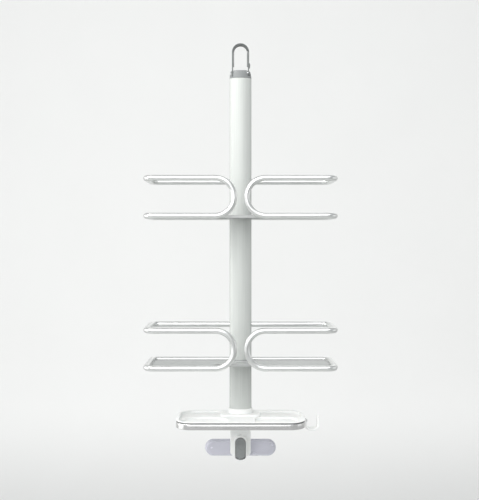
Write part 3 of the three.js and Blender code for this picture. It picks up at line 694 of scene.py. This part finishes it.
def make_button(side, height):
    """One pinch button: a guided block, a grooved pad outside it and a jaw inside the channel."""
    inner, shoulder, outer = BUTTON["inner"], BUTTON["shoulder"], BUTTON["outer"]
    mid = BUTTON["z"] + height

    def block(x0, y0, x1, y1, half, rim=0.3):
        x0, x1 = sorted((side * x0, side * x1))
        outline = rounded(y0, mid - half, y1, mid + half, rim + 0.4, steps=4)
        return slab("x", outline, x0, x1, rim, soft=0)

    jaw_front = POLE["half_depth"] - POLE["wall"] + GAP
    pad = block(shoulder - 1, 13.8, outer, 21.2, BUTTON["pad_half"], 0.8)
    grooves = [
        cutter("y", circle(side * (outer + 0.5), mid + z, 0.95, 20), 13, 22) for z in (-3.6, -1.2, 1.2, 3.6)
    ]
    spring_room = cutter("x", circle(18, mid, 3.1), side * (inner - 1), side * 10.5)
    return cut(
        join(
            block(inner, 13, shoulder, 21.9, BUTTON["half"]),
            cut(pad, *grooves),
            block(3.2, jaw_front, 5.7, 15, 5.5),
            block(3.2, 12.9, inner + 1, 14.6, 5.5),
        ),
        spring_room,
    )


def make_grub(x, low, high, socket_up):
    """A grub screw with a hexagonal socket at its open end."""
    y = RAIL["rear"]
    plain = slab("z", circle(x, y, 1.9, 40), low, high, rim=0.3, soft=0)
    hexagon = circle(x, y, 1.05, 6)
    if socket_up:
        return cut(plain, cutter("z", hexagon, high - 1.6, high + 1, mouth=high, flare=0.15))
    return cut(plain, cutter("z", hexagon, low + 1.6, low - 1, mouth=low, flare=0.15))


def build_unit(unit, height):
    """Everything that slides with one shelf, and its two buttons."""
    body = unit + "_shelf"

    def add(name, node, solid, slot, rides=body, finish=None):
        publish(f"{unit}_{name}", f"{unit}_{node}", solid, slot, rides, finish)

    for side, sign in (("left", -1), ("right", 1)):
        rail = sweep(rail_path(sign, height), TUBE, sides=40)
        add(f"{side}_rail_tube", f"{side}_rail", rail, "anodised_aluminium")
        button = make_button(sign, height)
        rides = f"{unit}_{side}_button_body"
        add(f"{side}_pinch_button", f"{side}_button", button, "grey_plastic", rides)
        x, spacing, above = sign * GRUB_X, RAIL["spacing"], CARRIAGE["above"]
        low = make_grub(x, height - above + 0.5, height - TUBE - GAP, False)
        high = make_grub(x, height + spacing + TUBE + GAP, height + spacing + above - 0.5, True)
        add(f"{side}_low_set_screw", f"{side}_low_grub_screw", low, "steel_hardware")
        add(f"{side}_high_set_screw", f"{side}_high_grub_screw", high, "steel_hardware")
    add("pressed_plate", "shelf_plate", make_plate(height), "sheet_aluminium")
    add("notch_liner", "pole_bush", make_bush(height), "grey_plastic")
    add("carriage_block", "carriage", make_carriage(height), "grey_plastic")
    add("carriage_back", "carriage_cover", make_cover(height), "grey_plastic")
    spring = coil("x", (0, 18, BUTTON["z"] + height), -7.4, 7.4, radius=2.3, turns=6)
    add("pinch_spring", "button_spring", spring, "steel_hardware")
    for place, z in COVER_SCREWS.items():
        origin = (0, CARRIAGE["rear"] + COVER["thick"] + 0.2, height + z)
        sizes = dict(head_radius=2.6, head_height=1.1, length=6, shank_radius=1.4)
        cover_screw = pan_screw(origin, "y", 1, **sizes)
        add(f"{place}_back_screw", f"{place}_cover_screw", cover_screw, "steel_hardware")


for unit_name, unit_height in HEIGHTS.items():
    build_unit(unit_name, unit_height)


# ---- Tray ---------------------------------------------------------------------------------
trim_inner = TRIM["thickness"] + GAP


def tray_outline(shrink):
    """The tray's outline, drawn in from the outside of its lip."""
    x = TRAY["half_width"] - shrink
    corners = (TRAY["front_corner"] - shrink, TRAY["rear_corner"] - shrink)
    return rounded(-x, TRAY["front"] + shrink, x, TRAY["rear"] - shrink, *corners, steps=20)


def well_outline(well, grow):
    """The mouth of a well, grown outwards."""
    reach, r = well["half_x"] + grow, well["corner"] + grow
    front, rear = WELL["front"] - grow, WELL["rear"] + grow
    return rounded(well["x"] - reach, front, well["x"] + reach, rear, r, steps=16)


def platform_outline(rear):
    """The raised patch round the collar, out to a given rear line."""
    half = PLATFORM["half_width"]
    return rounded(-half, PLATFORM["front"], half, rear, PLATFORM["corner"], 1)


def make_tray():
    """The dish: a lip over the trim, two wells with drains, and a collar round the pole."""
    floor, base, lip, rear = TRAY_FLOOR, TRAY_BASE, TRAY_LIP, TRAY["rear"]
    wall = trim_inner + 2.4
    under = floor - 2
    well_floor = floor - WELL["depth"]
    shoulder = SEAM_SHADE_STRIP["top"] + GAP
    body = slab("z", tray_outline(trim_inner), base, shoulder + 0.1, rim=0.5, rim_end=0, soft=0)
    brim = slab("z", tray_outline(0), shoulder, lip, rim=0.15, rim_end=0.6, soft=0)
    dish = cutter("z", tray_outline(wall), floor, lip + 2, mouth=lip, flare=0.8, bottom=3.6)
    underside = cutter("z", tray_outline(wall), under, base - 2, bottom=1.0)
    platform_top = floor + PLATFORM["height"]
    patch = platform_outline(rear - wall + 1)
    platform = slab("z", patch, floor - 1, platform_top, rim=0, rim_end=0.9, soft=0)
    collar_rim = quarter(COLLAR_TOP, 0.7, -1)[::-1]
    collar_levels = [(floor, -COLLAR_GROWTH)] + [(z, a - COLLAR_GROWTH) for z, a in collar_rim]
    collar = stack("z", tidy(pole_outline()), collar_levels)
    bottoms = [
        slab("z", well_outline(well, 2), well_floor - 2, under + 1, rim=1.2, rim_end=0, soft=0)
        for well in WELLS
    ]
    wells = []
    for well in WELLS:
        outline = well_outline(well, 0)
        deep = cutter("z", outline, well_floor, floor + 2, mouth=floor, flare=0.9, bottom=1.8)
        wells.append(cut(deep, cutter("z", platform_outline(rear), base, lip)))
    drain_size = DRAINS["half_length"], DRAINS["half_width"]
    drains = [
        cutter("z", stadium(well["x"] + offset, DRAINS["y"], *drain_size, steps=8), base - 1, floor)
        for well in WELLS
        for offset in DRAINS["offsets"]
    ]
    bore = cutter("z", pole_outline(0.4), base - 1, COLLAR_TOP + 1, mouth=COLLAR_TOP, flare=0.3)
    shell = cut(join(body, brim), dish, underside)
    return cut(join(shell, *bottoms, platform, collar), *wells, *drains, bore)


def front_band(set_back):
    """The outline of a band round the front and both front corners."""
    half, front, r = TRAY["half_width"], TRAY["front"], TRAY["front_corner"]

    def path(shrink):
        return (
            [(-half + shrink, TRIM["end_y"])]
            + arc(-half + r, front + r, r - shrink, r - shrink, 180, 270, 24)
            + arc(half - r, front + r, r - shrink, r - shrink, 270, 360, 24)
            + [(half - shrink, TRIM["end_y"])]
        )

    return tidy(path(set_back) + path(TRIM["thickness"])[::-1])


def make_trim():
    """The polished band: a nearly flat face that rolls back into its upper edge."""
    top = TRIM["top"] - 0.1
    face = [(top - 5.0, 0), (top - 3.4, 0.03), (top - 2.2, 0.12)]
    roll = [(top - 1.3, 0.28), (top - 0.7, 0.45), (top - 0.25, 0.68), (top, 0.88)]
    return stack("z", front_band(0), quarter(TRAY_BASE, 0.5, 1) + face + roll)


def make_side_hook():
    """A strip bent into an open J, with a pad that is screwed to the tray's side."""
    left, right, t, bend = (SIDE_HOOK[k] for k in ("left", "right", "thick", "bend"))
    tip, floor = SIDE_HOOK["tip"], SIDE_HOOK["bottom"] + bend
    y, half, screw_z = (SIDE_HOOK_PAD[k] for k in ("y", "half_width", "screw_z"))
    outline = (
        [(left, tip)]
        + arc(left + bend, floor, bend, bend, 180, 270, 20)
        + arc(right - bend, floor, bend, bend, 270, 360, 20)
        + arc(right - t / 2, tip, t / 2, t / 2, 0, 180, 14)
        + arc(right - bend, floor, bend - t, bend - t, 360, 270, 20)
        + arc(left + bend, floor, bend - t, bend - t, 270, 180, 20)
        + [(left + t, tip)]
    )
    strip = slab("y", outline, y - half, y + half, rim=0.7, soft=1.0)
    pad_outline = rounded(y - half, SIDE_HOOK_PAD["bottom"], y + half, SEAM_SHADE_STRIP["top"], 1.0, steps=4)
    pad = slab("x", pad_outline, TRAY["half_width"] - trim_inner + GAP, left + 1, rim=0.2, soft=0)
    return cut(join(strip, pad), cutter("x", circle(y, screw_z, SCREW_HOLE), 90, left + t + 1))


publish("tray_moulding", "tray", make_tray(), "white_plastic", "caddy_frame")
publish("trim_band", "tray_trim", make_trim(), "polished_trim", "caddy_frame")
# Painted shade: a dark grey rubber strip set in the seam under the lip, standing in for the seam's shadow.
seam_shade = slab("z", front_band(SEAM_SHADE_STRIP["set_back"]), SEAM_SHADE_STRIP["bottom"], SEAM_SHADE_STRIP["top"], rim=0.15, soft=0)
publish("painted_shade_strip", "tray_seal", seam_shade, "grey_rubber", "caddy_frame")
publish("side_hook_moulding", "side_hook", make_side_hook(), "white_plastic", "caddy_frame")
side_screw_x = SIDE_HOOK["left"] + SIDE_HOOK["thick"] + GAP
side_screw_origin = (side_screw_x, SIDE_HOOK_PAD["y"], SIDE_HOOK_PAD["screw_z"])
side_screw = pan_screw(side_screw_origin, "x", 1, head_radius=2.8, head_height=1.4, length=9)
publish("side_screw", "side_hook_screw", side_screw, "steel_hardware", "caddy_frame")


# ---- Suction foot -------------------------------------------------------------------------
def upright_pill(top, bottom, half_width):
    """An upright bar outline with round ends, for the bezel and the lever."""
    return stadium(0, (top + bottom) / 2, (top - bottom) / 2, half_width, upright=True, steps=32)


def make_housing():
    """The stem under the tray: a flange and a plug above, and a bezel round the lever's recess."""
    half, front, rear, bottom = (STEM[k] for k in ("half_width", "front", "rear", "bottom"))
    stem_top = TRAY_BASE - GAP
    stem = slab("y", rounded(-half, bottom, half, stem_top, 8, 2.0, steps=14), front, rear, rim=1.4, soft=0)
    neck_outline = rounded(0.05 - half, front + 0.05, half - 0.05, FLANGE["rear"], 2)
    neck = slab("z", neck_outline, stem_top - 1, FLANGE["top"] - 1, rim=0, soft=0)
    flange_outline = rounded(-FLANGE["half_width"], -14, FLANGE["half_width"], FLANGE["rear"], 3)
    flange = slab("z", flange_outline, FLANGE["top"] - FLANGE["thick"], FLANGE["top"], rim=0.4, soft=0)
    plug_outline = pole_outline(-POLE["wall"] - PLUG_CLEARANCE)
    plug = slab("z", plug_outline, FLANGE["top"] - 1, FLANGE["top"] + 22, rim=0.5)
    bezel_outline = tidy(upright_pill(BEZEL["top"], BEZEL["bottom"], BEZEL["half_width"]))
    bezel = stack("y", bezel_outline, quarter(BEZEL["front"], 0.8, 1) + [(front + 2, 0)])
    recess_x = LEVER["half_width"] + 0.4
    recess = upright_pill(LEVER["top"] + 0.4, LEVER["bottom"] - 0.4, recess_x)
    pocket = arc(0, PIVOT["z"] - 4.6, recess_x, 4.8, 180, 360, 40)
    pocket += [(recess_x, -661), (-recess_x, -661)]
    return cut(
        join(stem, neck, flange, plug, bezel),
        cutter("y", recess, PIVOT["y"], BEZEL["front"] - 1, mouth=BEZEL["front"], flare=0.5),
        cutter("y", pocket, PIVOT["y"] + 11.9, BEZEL["front"] - 1),
        cutter("y", circle(0, PIVOT["z"], STEM_HOLE), PIVOT["y"], rear + 1),
    )


def make_lever():
    """The flip lever: a scooped pill on a barrel, slotted for the draw rod."""
    half, front, thick = LEVER["half_width"], LEVER["front"], LEVER["thick"]
    y, z, hub = PIVOT["y"], PIVOT["z"], PIVOT["hub"]
    pill = upright_pill(LEVER["top"], LEVER["bottom"], half)
    face = slab("y", pill, front, front + thick, rim=1.1, rim_end=0.4, soft=0)
    barrel = slab("x", circle(y, z, hub), -half + 0.6, half - 0.6, rim=0.3, soft=0)
    scoop = upright_pill(-645.9, -662, half - 2.6)
    grooves = [
        cutter("y", stadium(0, level, 4.6, 0.55), front + 1.1, front - 1, mouth=front + 0.7, flare=0.2)
        for level in (-649.5, -651.5, -653.5)
    ]
    slot = rectangle(-3.4, LEVER["bottom"] - 1, 3.4, z + 5)
    return cut(
        join(face, barrel),
        cutter("y", scoop, front + 0.7, front - 1, mouth=front, flare=0.5, bottom=0.4),
        *grooves,
        cutter("y", slot, front + 1.4, y + hub + 1),
        cutter("x", circle(y, z, PIN_HOLE), -half - 1, half + 1),
    )


def make_plunger():
    """The draw rod: an eye for the lever's pin, a round stem and a disc behind the cup's skin."""
    y, z = PIVOT["y"], PIVOT["z"]
    eye = slab("x", circle(y, z, 3.3), -3, 3, rim=0.4, soft=0)
    profile = [(2.6, 0), (3.0, 1.0), (3.0, 36.1), (6.6, 36.1), (7.0, 36.5), (7.0, 37.7), (6.6, 38.1)]
    stem = lathe(profile, (0, y, z), (0, 1, 0))
    return cut(join(stem, eye), cutter("x", circle(y, z, PIN_HOLE), -8, 8))


def make_cup():
    """The clear cup: a long domed body with a thin flared lip against the wall, hollow behind."""
    z = CUP["z"]
    outline = tidy(stadium(0, z, CUP["half_length"], CUP["half_height"], steps=40))
    levels = [(17.0, 3.2), (17.15, 2.2), (17.6, 1.2), (18.4, 0.45), (19.6, 0.0), (23.2, 0.0)]
    levels += [(23.9, -0.4), (24.3, -1.2), (24.55, -1.9), (25.1, -2.0), (WALL_Y, -2.0)]
    body = stack("y", outline, levels)
    boss = slab("y", rounded(-17, z - 9, 17, z + 9, 5), STEM["rear"] + GAP, 18, rim=0.8, soft=0)
    hollow = stadium(0, z, 52, 8, steps=32)
    return cut(
        join(body, boss),
        cutter("y", hollow, WALL_Y - 3, WALL_Y + 1, mouth=WALL_Y, flare=1.5, bottom=1.5),
        cutter("y", circle(0, z, 7.6), 19.2, WALL_Y + 1),
        cutter("y", circle(0, z, STEM_HOLE), STEM["rear"], WALL_Y),
    )


publish("housing_moulding", "suction_housing", make_housing(), "white_plastic", "caddy_frame")
publish("flip_lever", "suction_lever", make_lever(), "grey_plastic", "cup_lever")
lever_axle = pin((0, PIVOT["y"], PIVOT["z"]), "x", 7.6)
publish("lever_axle", "lever_pin", lever_axle, "steel_hardware", "cup_plunger")
publish("draw_rod", "plunger", make_plunger(), "steel_hardware", "cup_plunger")
publish("vinyl_cup", "suction_cup", make_cup(), "clear_vinyl", "caddy_frame")
for tray_side, tray_x in (("left", -TRAY_SCREW_X), ("right", TRAY_SCREW_X)):
    tray_screw_origin = (tray_x, 0, TRAY_SCREW_Z)
    tray_screw = pan_screw(tray_screw_origin, "z", -1, head_radius=2.8, head_height=1.2, length=5.8)
    node = f"{tray_side}_tray_screw"
    publish(f"{tray_side}_foot_screw", node, tray_screw, "steel_hardware", "caddy_frame")


# ---- Studio -------------------------------------------------------------------------------
def build_backdrop():
    """A pale floor that sweeps up behind the object, with a painted glow that makes it brighter towards the
    top.
    """
    floor_z, wall_y, wall_top, bend, half = -1.6, 2.6, 4.0, 0.9, 14.0
    profile = [(-half, floor_z)]
    profile += arc(wall_y - bend, floor_z + bend, bend, bend, -90, 0, 24)
    profile += [(wall_y, wall_top)]
    bm = bmesh.new()
    left = [bm.verts.new((-half, y, z)) for y, z in profile]
    right = [bm.verts.new((half, y, z)) for y, z in profile]
    for i in range(1, len(profile)):
        bm.faces.new((left[i - 1], right[i - 1], right[i], left[i]))
    backdrop = to_object(bm)
    backdrop.name = "studio_sweep"
    backdrop.data.shade_smooth()
    glowing_paper = Finish("glowing_studio_paper", Roughness=0.9, Emission_Color=(1.0, 1.0, 0.99, 1.0))
    glowing_paper.tint(every_way(3), (0.52, 0.525, 0.52), (0.53, 0.535, 0.53))
    # Painted light: the paper's emission rises smoothly with height, from a faint glow on the floor to a
    # stronger one on the wall, standing in for light falling on it.
    nodes, links = glowing_paper.tree.nodes, glowing_paper.tree.links
    coordinates = nodes.new("ShaderNodeTexCoord")
    split = nodes.new("ShaderNodeSeparateXYZ")
    glow = nodes.new("ShaderNodeMapRange")
    glow.interpolation_type = "SMOOTHSTEP"
    for name, value in (("From Min", -1.8), ("From Max", -1.1), ("To Min", 0.05), ("To Max", 0.395)):
        glow.inputs[name].default_value = value
    links.new(coordinates.outputs["Object"], split.inputs["Vector"])
    links.new(split.outputs["Z"], glow.inputs["Value"])
    links.new(glow.outputs["Result"], glowing_paper.shader.inputs["Emission Strength"])
    backdrop.data.materials.append(glowing_paper.material)


def build_lights():
    """A pale world and six soft lamps, all aimed at the middle of the object."""
    world = bpy.data.worlds.new("studio_world")
    world.use_nodes = True
    world.node_tree.nodes["Background"].inputs["Color"].default_value = (0.97, 0.99, 1.0, 1)
    world.node_tree.nodes["Background"].inputs["Strength"].default_value = 0.52
    scene.world = world
    lamps = (
        ("key", (-1.4, -1.3, 1.2), 1.4, 36.0, (1.0, 0.99, 0.97)),
        ("front", (0.4, -1.7, 1.6), 1.8, 22.0, (0.98, 0.99, 1.0)),
        ("low front", (-0.6, -2.6, 0.3), 1.9, 23.0, (1.0, 1.0, 1.0)),
        ("left", (-2.0, -0.2, -0.3), 1.6, 18.0, (1.0, 1.0, 1.0)),
        ("right", (2.0, -0.4, -0.3), 1.2, 4.0, (1.0, 1.0, 1.0)),
        ("rear", (0.6, 1.6, 0.8), 1.4, 3.0, (1.0, 1.0, 1.0)),
    )
    target = Vector((0, 0, -0.33))
    for name, place, size, power, color in lamps:
        data = bpy.data.lights.new(name, "AREA")
        data.size, data.energy, data.color = size, power, color
        lamp = bpy.data.objects.new(name, data)
        lamp.location = place
        lamp.rotation_euler = (target - Vector(place)).to_track_quat("-Z", "Y").to_euler()
        scene.collection.objects.link(lamp)


def build_camera():
    """A level camera straight in front, a little above the object's middle."""
    camera = bpy.data.objects.new("camera", bpy.data.cameras.new("camera"))
    camera.data.sensor_width, camera.data.lens = 36.0, 57.96
    camera.data.shift_x, camera.data.shift_y = -0.002, -0.024
    camera.location = (0, -1.354, -0.3121)
    camera.rotation_euler = (math.radians(90), 0, 0)
    scene.collection.objects.link(camera)
    scene.camera = camera


build_backdrop()
build_lights()
build_camera()

bpy.context.view_layer.update()
